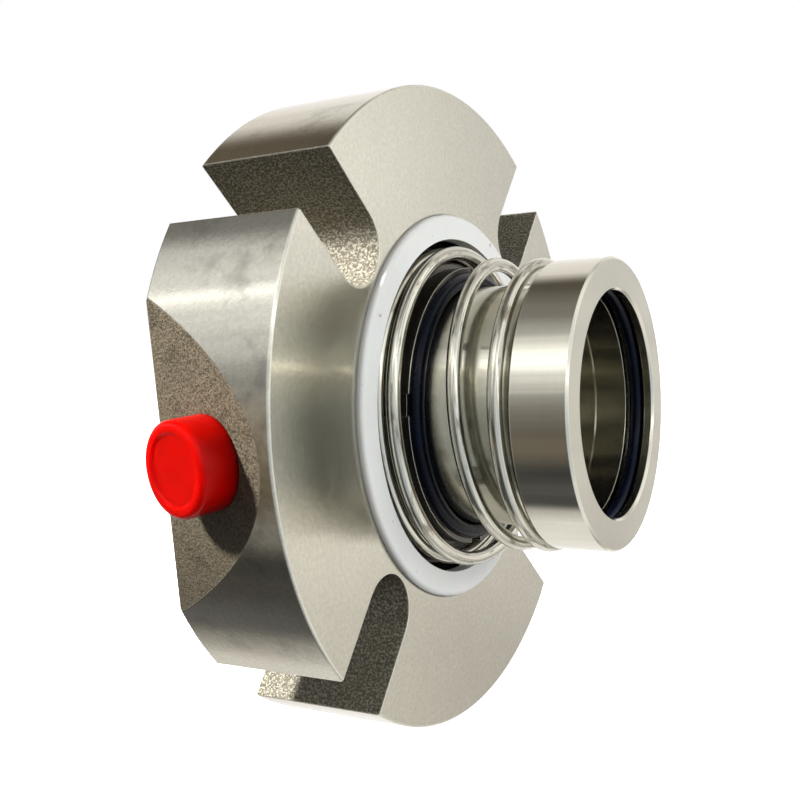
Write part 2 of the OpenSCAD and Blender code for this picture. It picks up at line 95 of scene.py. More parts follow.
class SpringSettings(bpy.types.PropertyGroup):
    """Form and finish of the coil spring."""
    wire: FloatProperty(
        name="Wire", description="Wire diameter",
        default=3.2 * MM, min=0.001, max=0.005, unit="LENGTH")
    large_radius: FloatProperty(
        name="Large radius", description="Mean radius of the coils at the gland",
        default=35.8 * MM, min=0.02, max=0.05, unit="LENGTH")
    small_radius: FloatProperty(
        name="Small radius", description="Mean radius of the coils at the sleeve head",
        default=31.5 * MM, min=0.02, max=0.05, unit="LENGTH")
    turn: FloatProperty(
        name="Turn", description="Turn of the reference point about the shaft",
        default=math.radians(171.3), subtype="ANGLE")
    turns_before: FloatProperty(
        name="Turns before", description="Turns from the lower end to the reference",
        default=1.3, min=0.5, max=3.0)
    turns_after: FloatProperty(
        name="Turns after", description="Turns from the reference to the upper end",
        default=2.3, min=0.5, max=4.0)
    turns_to_taper: FloatProperty(
        name="Turns to taper", description="Turns from the reference to the taper",
        default=0.2, min=-1.0, max=1.0)
    turns_of_taper: FloatProperty(
        name="Turns of taper", description="Turns over which the coils taper",
        default=0.8, min=0.2, max=3.0)
    turns_to_rise: FloatProperty(
        name="Turns to rise", description="Turns from the reference to the open coils",
        default=-0.15, min=-1.0, max=1.0)
    turns_of_rise: FloatProperty(
        name="Turns of rise", description="Turns over which the coils are open",
        default=2.0, min=0.5, max=4.0)
    closed_pitch: FloatProperty(
        name="Closed pitch", description="Rise per turn in the closed coils",
        default=3.45 * MM, min=0.001, max=0.01, unit="LENGTH")
    rings: IntProperty(
        name="Rings", description="Rings of the wire's mesh in one turn",
        default=150, min=24, max=400)
    sides: IntProperty(
        name="Sides", description="Sides of the wire's mesh",
        default=28, min=8, max=64)
    steel: FloatVectorProperty(
        name="Steel", description="Colour of the drawn wire",
        default=(0.63, 0.62, 0.54), min=0.0, max=1.0, subtype="COLOR", size=3)


class SealSettings(bpy.types.PropertyGroup):
    """Finish of the sleeve, the seals and the plug."""
    sleeve: FloatVectorProperty(
        name="Sleeve steel", description="Colour of the turned sleeve",
        default=(0.61, 0.595, 0.515), min=0.0, max=1.0, subtype="COLOR", size=3)
    plug: FloatVectorProperty(
        name="Plug", description="Colour of the plastic plug",
        default=(0.34, 0.0009, 0.0001), min=0.0, max=1.0, subtype="COLOR", size=3)
    gasket: FloatVectorProperty(
        name="Gasket", description="Colour of the pale gasket",
        default=(0.74, 0.755, 0.74), min=0.0, max=1.0, subtype="COLOR", size=3)
    rubber: FloatVectorProperty(
        name="Rubber", description="Colour of the dark blue rubber rings",
        default=(0.0018, 0.004, 0.012), min=0.0, max=1.0, subtype="COLOR", size=3)


class StudioSettings(bpy.types.PropertyGroup):
    """Camera, floor and light."""
    eye: FloatVectorProperty(
        name="Camera", description="Place of the camera",
        default=(0.1126, -0.2205, 0.0334), subtype="TRANSLATION", unit="LENGTH", size=3)
    aim: FloatVectorProperty(
        name="Aim", description="Point the camera looks at",
        default=(-0.01205, -0.00603, 0.00226), subtype="TRANSLATION", unit="LENGTH", size=3)
    roll: FloatProperty(
        name="Roll", description="Roll of the camera about its line of sight",
        default=math.radians(-4.7), subtype="ANGLE")
    lens: FloatProperty(
        name="Lens", description="Focal length on a 36 mm sensor",
        default=47.15, min=20.0, max=200.0)
    floor: FloatVectorProperty(
        name="Floor", description="Colour of the pale floor",
        default=(0.92, 0.92, 0.92), min=0.0, max=1.0, subtype="COLOR", size=3)
    floor_radius: FloatProperty(
        name="Floor radius", description="Radius of the floor",
        default=3.0, min=0.5, max=20.0, unit="LENGTH")
    room: FloatProperty(
        name="Room", description="Strength of the room's light in reflections",
        default=1.25, min=0.0, max=5.0)
    room_share: FloatProperty(
        name="Room share", description="Share of it that reaches matt surfaces",
        default=0.06, min=0.0, max=1.0)
    fill: FloatProperty(
        name="Fill", description="Power of the fill light in watts",
        default=20.5, min=0.0, max=100.0)
    key: FloatProperty(
        name="Key", description="Power of the key light in watts",
        default=34.0, min=0.0, max=100.0)


class CartridgeSealSettings(bpy.types.PropertyGroup):
    """All settings of the seal."""
    gland: PointerProperty(type=GlandSettings)
    spring: PointerProperty(type=SpringSettings)
    seal: PointerProperty(type=SealSettings)
    studio: PointerProperty(type=StudioSettings)


# Node graphs

class Graph:
    """Short calls that add nodes to one node tree and join them."""

    def __init__(self, tree):
        self.tree = tree
        tree.nodes.clear()

    def add(self, kind, **settings):
        node = self.tree.nodes.new(kind)
        for key, value in settings.items():
            setattr(node, key, value)
        return node

    def feed(self, socket, value):
        """Links another socket, or sets a plain number or colour."""
        if isinstance(value, bpy.types.NodeSocket):
            self.tree.links.new(value, socket)
        elif socket.type == "RGBA" and len(value) == 3:
            socket.default_value = (*value, 1.0)
        else:
            socket.default_value = value

    def math(self, operation, *values, clamp=False):
        node = self.add("ShaderNodeMath", operation=operation, use_clamp=clamp)
        for socket, value in zip(node.inputs, values):
            self.feed(socket, value)
        return node.outputs[0]

    def vector(self, operation, *values):
        node = self.add("ShaderNodeVectorMath", operation=operation)
        for socket, value in zip(node.inputs, values):
            self.feed(socket, value)
        return node.outputs[1 if operation in ("DOT_PRODUCT", "LENGTH") else 0]

    def split(self, vector):
        node = self.add("ShaderNodeSeparateXYZ")
        self.feed(node.inputs[0], vector)
        return node.outputs

    def join(self, x, y, z):
        node = self.add("ShaderNodeCombineXYZ")
        for socket, value in zip(node.inputs, (x, y, z)):
            self.feed(socket, value)
        return node.outputs[0]

    def rise(self, value, low, high, start=0.0, end=1.0):
        """start up to low, end from high on, and smooth between them."""
        node = self.add("ShaderNodeMapRange", interpolation_type="SMOOTHSTEP")
        for socket, v in zip(node.inputs, (value, low, high, start, end)):
            self.feed(socket, v)
        return node.outputs[0]

    def mix(self, factor, a, b, blend="MIX"):
        node = self.add("ShaderNodeMix", data_type="RGBA", blend_type=blend)
        self.feed(node.inputs["Factor"], factor)
        self.feed(node.inputs[6], a)
        self.feed(node.inputs[7], b)
        return node.outputs[2]

    def noise(self, vector, scale, detail=2.0, roughness=0.5, distortion=0.0):
        node = self.add("ShaderNodeTexNoise")
        self.feed(node.inputs["Vector"], vector)
        self.feed(node.inputs["Scale"], scale)
        self.feed(node.inputs["Detail"], detail)
        self.feed(node.inputs["Roughness"], roughness)
        self.feed(node.inputs["Distortion"], distortion)
        return node.outputs["Fac"]

    def place(self):
        """Place on the part in metres, fixed to its own object."""
        return self.add("ShaderNodeTexCoord").outputs["Object"]

    def effect(self, name, **values):
        """Places a shared effect with its own values; returns its outputs."""
        node = self.add("ShaderNodeGroup")
        node.node_tree = bpy.data.node_groups.get(name) or EFFECTS[name]()
        for key, value in values.items():
            self.feed(node.inputs[key.replace("_", " ")], value)
        return node.outputs


class Finish(Graph):
    """A material with one shader, fed by the graph's values."""

    def __init__(self, name):
        self.material = bpy.data.materials.new(name)
        self.material.use_nodes = True
        super().__init__(self.material.node_tree)
        self.shader = self.add("ShaderNodeBsdfPrincipled")
        output = self.add("ShaderNodeOutputMaterial")
        self.feed(output.inputs["Surface"], self.shader.outputs["BSDF"])

    def set(self, name, value):
        self.feed(self.shader.inputs[name], value)

    def bump(self, height, distance, normal=None):
        """Normal of a surface that a height of 1 lifts by the distance."""
        node = self.add("ShaderNodeBump")
        node.inputs["Strength"].default_value = 1.0
        node.inputs["Distance"].default_value = distance
        self.feed(node.inputs["Height"], height)
        if normal is not None:
            self.feed(node.inputs["Normal"], normal)
        return node.outputs["Normal"]

    def lathe_sheen(self, amount):
        """Highlights drawn out across the rings that a lathe leaves around X."""
        quarter_turn = 0.25
        tangent = self.add("ShaderNodeTangent", direction_type="RADIAL", axis="X")
        self.set("Anisotropic", amount)
        self.set("Anisotropic Rotation", quarter_turn)
        self.set("Tangent", tangent.outputs[0])


def new_effect(name, inputs, outputs):
    """An empty node group; returns its graph, its input sockets and its output node."""
    tree = bpy.data.node_groups.new(name, "ShaderNodeTree")
    graph = Graph(tree)
    for label, value in inputs.items():
        socket = tree.interface.new_socket(
            label, in_out="INPUT", socket_type="NodeSocketFloat")
        socket.default_value = value
    for label, kind in outputs.items():
        tree.interface.new_socket(label, in_out="OUTPUT", socket_type=kind)
    source = graph.add("NodeGroupInput").outputs
    sink = graph.add("NodeGroupOutput").inputs
    return graph, source, sink


def turned_marks():
    """Fine rings that a lathe tool leaves around the shaft axis."""
    graph, source, sink = new_effect(
        "Turned marks", {"Pitch": 0.4 * MM, "Waver": 12.0}, {"Marks": "NodeSocketFloat"})
    x, y, z = graph.split(graph.place())
    radius = graph.math("SQRT", graph.math("ADD", graph.math("POWER", y, 2.0),
                                           graph.math("POWER", z, 2.0)))
    along = graph.math("DIVIDE", x, source["Pitch"])
    across = graph.math("DIVIDE", radius, source["Pitch"])
    around = graph.math("MULTIPLY", graph.math("ADD", y, graph.math("MULTIPLY", z, 0.6)),
                        source["Waver"])
    rings = graph.noise(graph.join(along, across, around), 1.0, 3.0, 0.6)
    graph.feed(sink["Marks"], rings)
    return graph.tree


def clouding():
    """Soft patches where a surface is stained or polished unevenly."""
    graph, source, sink = new_effect(
        "Clouding", {"Scale": 60.0, "Low": 0.45, "High": 0.65},
        {"Cloud": "NodeSocketFloat"})
    patches = graph.noise(graph.place(), source["Scale"], 4.0, 0.62, 0.15)
    graph.feed(sink["Cloud"], graph.rise(patches, source["Low"], source["High"]))
    return graph.tree


def cast_skin():
    """Rough skin that a sand mould leaves: fine grains, pits and stains."""
    graph, source, sink = new_effect(
        "Cast skin", {"Grain": 0.35 * MM},
        {"Height": "NodeSocketFloat", "Pits": "NodeSocketFloat",
         "Tips": "NodeSocketFloat", "Stain": "NodeSocketFloat"})
    place = graph.place()
    scale = graph.math("DIVIDE", 1.0, source["Grain"])
    fine = graph.noise(place, scale, 4.0, 0.65, 0.3)
    coarse = graph.noise(place, graph.math("MULTIPLY", scale, 0.22), 2.0, 0.5)
    height = graph.math("ADD", fine, graph.math("MULTIPLY", coarse, 0.5))
    graph.feed(sink["Height"], height)
    graph.feed(sink["Pits"], graph.rise(fine, 0.30, 0.60, 1.0, 0.0))
    graph.feed(sink["Tips"], graph.rise(fine, 0.46, 0.60))
    graph.feed(sink["Stain"], graph.rise(graph.noise(place, 85.0, 4.0, 0.6, 0.6), 0.54, 0.60))
    return graph.tree


def broken_edge():
    """Edges with a small radius, and a mask where their colour is made brighter: partly wear,
    partly a painted highlight along the edge.
    """
    graph, source, sink = new_effect(
        "Broken edge", {"Width": 0.3 * MM},
        {"Normal": "NodeSocketVector", "Wear and highlight": "NodeSocketFloat"})
    bevel = graph.add("ShaderNodeBevel", samples=4)
    graph.feed(bevel.inputs["Radius"], source["Width"])
    face = graph.add("ShaderNodeNewGeometry").outputs["Normal"]
    turn = graph.vector("DOT_PRODUCT", bevel.outputs[0], face)
    graph.feed(sink["Normal"], bevel.outputs[0])
    graph.feed(sink["Wear and highlight"], graph.rise(turn, 0.88, 0.998, 1.0, 0.0))
    return graph.tree


EFFECTS = {
    "Turned marks": turned_marks,
    "Clouding": clouding,
    "Cast skin": cast_skin,
    "Broken edge": broken_edge,
}


# Finishes

def tinted(colour, share):
    """A colour made darker or lighter by a share."""
    return tuple(c * share for c in colour)


def slot_mask(finish, place, half_width):
    """1 on the walls of the four bolt slots, 0 elsewhere."""
    x, y, z = finish.split(place)
    wide = finish.math("ABSOLUTE", y)
    tall = finish.math("ABSOLUTE", z)
    out = finish.math("MULTIPLY", finish.math("ADD", wide, tall), DIAGONAL)
    off = finish.math("MULTIPLY", finish.math("SUBTRACT", wide, tall), DIAGONAL)
    off = finish.math("ABSOLUTE", off)
    inside = finish.math("LESS_THAN", off, half_width + MASK_GAP)
    beyond = finish.math("GREATER_THAN", out, GASKET_RADIUS)
    behind = finish.math("LESS_THAN", x, -MASK_GAP)
    ahead = finish.math("GREATER_THAN", x, GLAND_LOW.x + MASK_GAP)
    return finish.math("MULTIPLY", finish.math("MULTIPLY", inside, beyond),
                       finish.math("MULTIPLY", behind, ahead))


def flat_mask(finish, place, tilt, inset):
    """1 on the oblique cast flat, 0 elsewhere."""
    outward = (-math.sin(tilt), -math.cos(tilt), 0.0)
    depth = finish.vector("DOT_PRODUCT", place, outward)
    return finish.math("GREATER_THAN", depth, RIM_RADIUS - inset - 0.03 * MM)


def chamber_shade_mask(finish, place, radius):
    """1 on the walls inside the gasket, where little light reaches and the colour is darkened
    as painted shade, 0 elsewhere.
    """
    gap = 0.2 * MM
    x = finish.split(place)[0]
    inner = finish.math("LESS_THAN", radius, GASKET_RADIUS - gap)
    inner = finish.math("MULTIPLY", inner, finish.math("LESS_THAN", x, -gap))
    ahead = finish.math("GREATER_THAN", x, GLAND_LOW.x + gap)
    return finish.math("MULTIPLY", inner, ahead)


def layered(finish, colour, share, mask, top):
    """A colour with a share of another laid over it where the mask is 1."""
    return finish.mix(finish.math("MULTIPLY", mask, share), colour, top)


def machined_colour(finish, steel, marks, crinkle):
    """Turned faces: light and dark rings, mottled, with fine dark grains."""
    mottle = finish.effect("Clouding", Scale=130.0, Low=0.25, High=0.75)["Cloud"]
    colour = finish.mix(marks, tinted(steel, 0.90), tinted(steel, 1.06))
    colour = layered(finish, colour, 0.6, mottle, tinted(steel, 0.90))
    grains = finish.rise(crinkle, 0.35, 0.65, 0.0, 0.65)
    return finish.mix(grains, colour, tinted(steel, 0.82))


def cast_colour(finish, place, casting, skin):
    """Cast flat: dark pits, stains and bare tips, and painted shade that darkens it towards
    the bottom.
    """
    colour = finish.mix(skin["Pits"], tinted(casting, 1.4), tinted(casting, 0.55))
    colour = layered(finish, colour, 0.6, skin["Stain"], tinted(casting, 0.50))
    colour = layered(finish, colour, 0.5, skin["Tips"], tinted(casting, 2.0))
    # Painted shade: the flat's colour grows darker towards its bottom.
    painted_low_shade = finish.rise(finish.split(place)[2], -35 * MM, 0.0, 0.7, 0.0)
    return finish.mix(painted_low_shade, colour, tinted(casting, 0.42))


def gland_steel(settings):
    """Gland plate: machined steel, with cast skin on the slot walls and the flat."""
    finish = Finish("gland_steel")
    place = finish.place()
    slots = slot_mask(finish, place, settings.slot_width / 2)
    flat = flat_mask(finish, place, settings.flat_tilt, settings.flat_inset)
    cast = finish.math("MAXIMUM", slots, flat)
    radius = finish.vector("LENGTH", finish.vector("MULTIPLY", place, (0.0, 1.0, 1.0)))
    rim = finish.math("GREATER_THAN", radius, RIM_RADIUS - 0.3 * MM)
    chamber_shade = chamber_shade_mask(finish, place, radius)
    marks = finish.effect("Turned marks", Pitch=0.35 * MM, Waver=10.0)["Marks"]
    cloud = finish.effect("Clouding", Scale=95.0, Low=0.50, High=0.70)["Cloud"]
    crinkle = finish.noise(place, 1100.0, 3.0, 0.6, 0.6)
    skin = finish.effect("Cast skin", Grain=0.5 * MM)
    edge = finish.effect("Broken edge", Width=0.55 * MM)

    steel = tuple(settings.steel)
    machined = machined_colour(finish, steel, marks, crinkle)
    stain = finish.math("MULTIPLY", cloud, finish.math("MULTIPLY", rim, 0.9))
    machined = finish.mix(stain, machined, tinted(steel, 0.62))
    # Painted shade: the walls inside the gasket are darkened to a tenth of the steel's
    # colour.
    machined = finish.mix(chamber_shade, machined, tinted(steel, 0.10))
    rough = cast_colour(finish, place, tuple(settings.cast), skin)
    wall = finish.mix(skin["Tips"], (0.165, 0.148, 0.110), (0.50, 0.465, 0.37))
    rough = finish.mix(slots, rough, wall)
    colour = finish.mix(cast, machined, rough)
    # Painted highlight along the edges, partly also wear: the edge mask makes the colour
    # brighter there.
    colour = layered(finish, colour, 0.85, edge["Wear and highlight"], tinted(steel, 1.4))
    finish.set("Base Color", colour)

    scale = finish.math("ADD", finish.math("MULTIPLY", cast, 0.8),
                        finish.math("MULTIPLY", slots, 0.15))
    scale = finish.math("MULTIPLY", scale, finish.math("SUBTRACT", 1.0, edge["Wear and highlight"]))
    finish.set("Metallic", finish.math("SUBTRACT", 1.0, scale))
    finish.set("Specular IOR Level", 0.12)
    polish = finish.math("ADD", finish.rise(cloud, 0.0, 1.0, 0.145, 0.165),
                         finish.math("MULTIPLY", rim, -0.045))
    finish.set("Roughness", finish.math("ADD", finish.math("MULTIPLY", cast, 0.32), polish))
    lathe = finish.bump(marks, 0.002 * MM, edge["Normal"])
    lathe = finish.bump(crinkle, 0.010 * MM, lathe)
    height = finish.math("MULTIPLY", skin["Height"], cast)
    finish.set("Normal", finish.bump(height, 0.55 * MM, lathe))
    finish.lathe_sheen(0.95)
    return finish.material


def turned_steel(name, colour, roughness, pitch, clouded=0.3, wear_highlight=None):
    """Steel turned on a lathe: fine rings, uneven polish, and edges made bright, partly by
    wear and partly as a painted highlight.
    """
    finish = Finish(name)
    marks = finish.effect("Turned marks", Pitch=pitch, Waver=8.0)["Marks"]
    cloud = finish.effect("Clouding", Scale=70.0, Low=0.40, High=0.70)["Cloud"]
    edge = finish.effect("Broken edge", Width=0.25 * MM)
    base = finish.mix(marks, tinted(colour, 0.93), tinted(colour, 1.05))
    base = layered(finish, base, clouded * 0.5, cloud, tinted(colour, 0.75))
    # Painted highlight along the edges, partly also wear: a brighter colour laid on by the
    # edge mask.
    base = layered(finish, base, 0.7, edge["Wear and highlight"], wear_highlight or tinted(colour, 1.35))
    finish.set("Base Color", base)
    finish.set("Metallic", 1.0)
    polish = finish.rise(cloud, 0.0, 1.0, roughness, roughness + 0.06 * clouded)
    finish.set("Roughness", finish.math("ADD", polish, finish.math("MULTIPLY", marks, 0.03)))
    finish.set("Normal", finish.bump(marks, 0.002 * MM, edge["Normal"]))
    finish.lathe_sheen(0.95)
    return finish.material


def plain_steel(name, colour, roughness, grain=900.0):
    """Small steel pieces with a tumbled surface."""
    finish = Finish(name)
    speck = finish.noise(finish.place(), grain, 3.0, 0.6)
    cloud = finish.effect("Clouding", Scale=180.0, Low=0.4, High=0.7)["Cloud"]
    edge = finish.effect("Broken edge", Width=0.2 * MM)
    base = finish.mix(cloud, colour, tinted(colour, 0.8))
    # Painted highlight along the edges, partly also wear: a pale colour laid on by the edge
    # mask.
    base = layered(finish, base, 0.5, edge["Wear and highlight"], (0.80, 0.78, 0.74))
    finish.set("Base Color", base)
    finish.set("Metallic", 1.0)
    finish.set("Roughness", finish.rise(speck, 0.3, 0.7, roughness - 0.05,
                                        roughness + 0.08))
    finish.set("Normal", finish.bump(speck, 0.01 * MM, edge["Normal"]))
    return finish.material


def drawn_wire(colour):
    """Bright spring wire with long streaks from the drawing die."""
    finish = Finish("spring_wire")
    place = finish.add("ShaderNodeAttribute", attribute_name="wire_place").outputs["Vector"]
    streaks = finish.noise(finish.vector("MULTIPLY", place, (7.0, 7.0, 0.12)), 1.0,
                           3.0, 0.65)
    dirt = finish.noise(finish.vector("MULTIPLY", place, (1.2, 1.2, 0.25)), 1.0, 4.0, 0.6)
    base = finish.mix(finish.rise(streaks, 0.40, 0.60), colour, tinted(colour, 0.72))
    base = finish.mix(finish.rise(dirt, 0.52, 0.68, 0.0, 0.75), base, (0.15, 0.11, 0.075))
    finish.set("Base Color", base)
    finish.set("Metallic", 1.0)
    finish.set("Roughness", finish.rise(streaks, 0.3, 0.7, 0.10, 0.20))
    finish.set("Normal", finish.bump(streaks, 0.012 * MM))
    return finish.material


def moulded_rubber(name, colour):
    """Rubber ring with a faint bloom and its mould line."""
    finish = Finish(name)
    bloom = finish.effect("Clouding", Scale=140.0, Low=0.4, High=0.7)["Cloud"]
    speck = finish.noise(finish.place(), 2600.0, 2.0, 0.5)
    base = finish.mix(bloom, colour, tinted(colour, 1.7))
    finish.set("Base Color", base)
    finish.set("Roughness", finish.rise(bloom, 0.0, 1.0, 0.24, 0.34))
    finish.set("Normal", finish.bump(speck, 0.006 * MM))
    finish.set("Specular IOR Level", 0.12)
    return finish.material


def gasket_ptfe(colour):
    """Pale dense plastic with skiving marks, faint clouds and a few dark specks."""
    finish = Finish("gasket_ptfe")
    cloud = finish.effect("Clouding", Scale=45.0, Low=0.35, High=0.75)["Cloud"]
    marks = finish.effect("Turned marks", Pitch=0.8 * MM, Waver=6.0)["Marks"]
    specks = finish.noise(finish.place(), 420.0, 2.0, 0.5)
    base = finish.mix(cloud, colour, tinted(colour, 0.94))
    base = finish.mix(finish.rise(specks, 0.71, 0.76, 0.0, 0.5), base, (0.20, 0.18, 0.16))
    finish.set("Base Color", base)
    finish.set("Roughness", finish.rise(marks, 0.3, 0.7, 0.38, 0.46))
    finish.set("Subsurface Weight", 0.15)
    finish.set("Subsurface Scale", 1.5 * MM)
    finish.set("Normal", finish.bump(marks, 0.01 * MM))
    return finish.material


def red_plastic(colour):
    """Glossy moulded polyethylene with a slightly uneven face."""
    finish = Finish("red_plastic")
    waves = finish.noise(finish.place(), 160.0, 3.0, 0.5)
    speck = finish.noise(finish.place(), 2200.0, 2.0, 0.5)
    base = finish.mix(finish.rise(waves, 0.35, 0.65), colour, tinted(colour, 0.88))
    finish.set("Base Color", base)
    finish.set("Roughness", finish.rise(speck, 0.3, 0.7, 0.16, 0.24))
    finish.set("Specular IOR Level", 0.08)
    finish.set("Subsurface Weight", 1.0)
    finish.set("Subsurface Radius", (1.0, 0.08, 0.04))
    finish.set("Subsurface Scale", 9.0 * MM)
    finish.set("Normal", finish.bump(waves, 0.10 * MM))
    return finish.material


def lapped_face(name, colour, roughness):
    """Hard seal face, lapped flat, with fine grain."""
    finish = Finish(name)
    grain = finish.noise(finish.place(), 1800.0, 3.0, 0.6)
    marks = finish.effect("Turned marks", Pitch=0.5 * MM, Waver=6.0)["Marks"]
    finish.set("Base Color", finish.mix(grain, tinted(colour, 0.8), tinted(colour, 1.25)))
    finish.set("Roughness", finish.rise(marks, 0.3, 0.7, roughness - 0.04,
                                        roughness + 0.06))
    finish.set("Normal", finish.bump(grain, 0.004 * MM))
    finish.set("Coat Weight", 0.2)
    return finish.material


def dress(material, *nodes):
    """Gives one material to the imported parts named."""
    for name in nodes:
        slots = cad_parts[name].material_slots
        if not slots:
            raise RuntimeError(f"{name} has no material slot")
        for slot in slots:
            slot.material = material


# Pieces

def ease(share):
    """A share from 0 to 1 that starts and ends smoothly."""
    share = min(1.0, max(0.0, share))
    return share * share * (3.0 - 2.0 * share)


def coil_point(settings, turn):
    """Radius and height along the shaft of the wire's centre at a turn."""
    low = SPRING_LOW.x + settings.wire / 2
    high = SPRING_HIGH.x - settings.wire / 2
    turns = settings.turns_before + settings.turns_after
    open_rise = high - low - settings.closed_pitch * turns
    taper = ease((turn - settings.turns_to_taper) / settings.turns_of_taper)
    lift = ease((turn - settings.turns_to_rise) / settings.turns_of_rise)
    radius = settings.large_radius + (settings.small_radius - settings.large_radius) * taper
    height = low + settings.closed_pitch * (turn + settings.turns_before) + open_rise * lift
    return radius, height


def coil_centre(settings, turn):
    """Place of the wire's centre at a turn."""
    radius, height = coil_point(settings, turn)
    angle = settings.turn + math.tau * turn
    return Vector((height, radius * math.cos(angle), radius * math.sin(angle)))


# The spring's cut ends are broken over this share of the wire's diameter.
WIRE_END_BREAK = 0.12
# Radius of the cut end, as a share of the wire's.
WIRE_END_SHARE = 0.808
# Length of one turn in the place that the wire's streaks are laid by.
STREAK_TURN = 100.0


def build_spring(settings):
    """The wire swept along its tapered helix, with cut and broken ends."""
    steps = round(settings.rings * (settings.turns_before + settings.turns_after))
    span = (settings.turns_before + settings.turns_after) / steps
    turns = [-settings.turns_before + span * i for i in range(steps + 1)]
    centres = [coil_centre(settings, t) for t in turns]
    wire_radius = settings.wire / 2
    broken = settings.wire * WIRE_END_BREAK
    rings = []
    for i, centre in enumerate(centres):
        ahead = centres[min(i + 1, steps)] - centres[max(i - 1, 0)]
        rings.append((turns[i], centre, ahead.normalized(), wire_radius))
    cut = wire_radius * WIRE_END_SHARE
    turn, centre, ahead, _ = rings[0]
    rings[0] = (turn, centre, ahead, cut)
    rings.insert(1, (turn, centre + ahead * broken, ahead, wire_radius))
    turn, centre, ahead, _ = rings[-1]
    rings[-1] = (turn, centre - ahead * broken, ahead, wire_radius)
    rings.append((turn, centre, ahead, cut))
    verts = []
    places = []
    for turn, centre, ahead, radius in rings:
        outward = Vector((0.0, centre.y, centre.z)).normalized()
        side = ahead.cross(outward).normalized()
        out = side.cross(ahead).normalized()
        for j in range(settings.sides):
            a = math.tau * j / settings.sides
            verts.append(centre + (out * math.cos(a) + side * math.sin(a)) * radius)
            places.append((math.cos(a), math.sin(a), turn * STREAK_TURN))
    n = settings.sides
    faces = []
    for i in range(len(rings) - 1):
        for j in range(n):
            a = i * n + j
            b = i * n + (j + 1) % n
            faces.append((a, b, b + n, a + n))
    faces.append(tuple(reversed(range(n))))
    faces.append(tuple(range(len(verts) - n, len(verts))))
    mesh = bpy.data.meshes.new("coil_spring")
    mesh.from_pydata(verts, [], faces)
    mesh.validate()
    place = mesh.attributes.new("wire_place", "FLOAT_VECTOR", "POINT")
    place.data.foreach_set("vector", [c for p in places for c in p])
    mesh.polygons.foreach_set("use_smooth", [len(p.vertices) == 4 for p in mesh.polygons])
    piece = bpy.data.objects.new("coil_spring", mesh)
    bpy.context.scene.collection.objects.link(piece)
    return piece


# Studio

def look_at(eye, aim, roll):
    """Camera matrix at eye, looking at aim, rolled about its line of sight."""
    back = (eye - aim).normalized()
    turn = back.to_track_quat("Z", "Y")
    turn = turn @ Quaternion((0.0, 0.0, 1.0), roll)
    return Matrix.Translation(eye) @ turn.to_matrix().to_4x4()


# Light around the shaft axis that the bright steel reflects: an angle in degrees from
# the camera's side (-Y) upwards, how bright the room is there and how warm.
ROOM = [
    (-180, 0.90, 0.15), (-96, 0.92, 0.10), (-84, 0.66, 0.20), (-74, 0.07, 0.00),
    (-60, 0.10, 0.10), (-46, 0.055, 0.00), (-24, 0.18, 0.80), (-12, 0.15, 0.50),
    (2, 0.22, 0.40), (12, 0.33, 0.20), (20, 0.66, 0.10), (30, 0.92, 0.05),
    (40, 1.60, 0.00), (47, 1.55, 0.05), (58, 0.90, 0.10), (68, 0.44, 0.10),
    (82, 0.24, 0.30), (116, 0.10, 0.80), (134, 0.84, 0.20), (180, 0.90, 0.15),
]
# The same for what lies far to the outboard side, with a bright strip lamp.
ROOM_BACK = [
    (-180, 0.88, 0.15), (-98, 0.80, 0.20), (-88, 0.46, 0.30), (-78, 0.15, 0.10),
    (-60, 0.08, 0.30), (-48, 0.06, 0.30), (-38, 0.27, 0.30), (-20, 0.18, 1.00),
    (0, 0.36, 0.70), (19, 0.38, 0.10), (32, 0.80, 0.00), (46, 1.02, 0.00),
    (48, 1.75, 0.00), (51, 1.75, 0.00), (53, 1.03, 0.00), (66, 0.80, 0.00),
    (76, 0.23, 0.10), (96, 0.20, 0.40), (120, 0.13, 1.00), (138, 0.80, 0.30),
    (180, 0.88, 0.15),
]
# The same for what lies on the inboard side, which the gland's face and the sleeve show.
ROOM_FRONT = [
    (-180, 0.92, 0.12), (-166, 0.88, 0.20), (-152, 0.66, 0.25), (-100, 0.80, 0.10),
    (-78, 0.68, -0.10), (-60, 0.55, -0.30), (-30, 0.52, -0.35), (0, 0.62, -0.35),
    (24, 0.80, -0.15), (36, 0.95, 0.00), (43, 1.30, 0.10), (44, 4.00, 0.10),
    (46, 4.00, 0.10), (47, 1.30, 0.10), (54, 1.00, 0.00), (72, 0.80, -0.10),
    (90, 0.72, -0.10), (110, 0.88, 0.10), (180, 0.92, 0.12),
]
# Tint of the room at a warmth of 1; a warmth below 0 is as much cooler.
WARM = (1.0, 0.81, 0.58)
# Brightness of the floor, which the camera sees as nearly white.
FLOOR_GLOW = 0.85
FLOOR_SEGMENTS = 96
# Places and sizes of the two lamps.
FILL_PLACE, FILL_SIZE = (1.22, -0.08, 0.05), 0.8
KEY_PLACE, KEY_SIZE = (-0.50, -0.57, 0.65), 0.10


def light_ring(graph, factor, stops):
    """A colour ramp with the stops of a list of (angle, level, warmth)."""
    ramp = graph.add("ShaderNodeValToRGB")
    elements = ramp.color_ramp.elements
    ramp.color_ramp.interpolation = "EASE"
    while len(elements) < len(stops):
        elements.new(0.5)
    for element, (angle, level, warmth) in zip(elements, stops):
        element.position = angle / 360.0 + 0.5
        element.color = (*(level * (1.0 - warmth * (1.0 - c)) for c in WARM), 1.0)
    graph.feed(ramp.inputs[0], factor)
    return ramp.outputs["Color"]


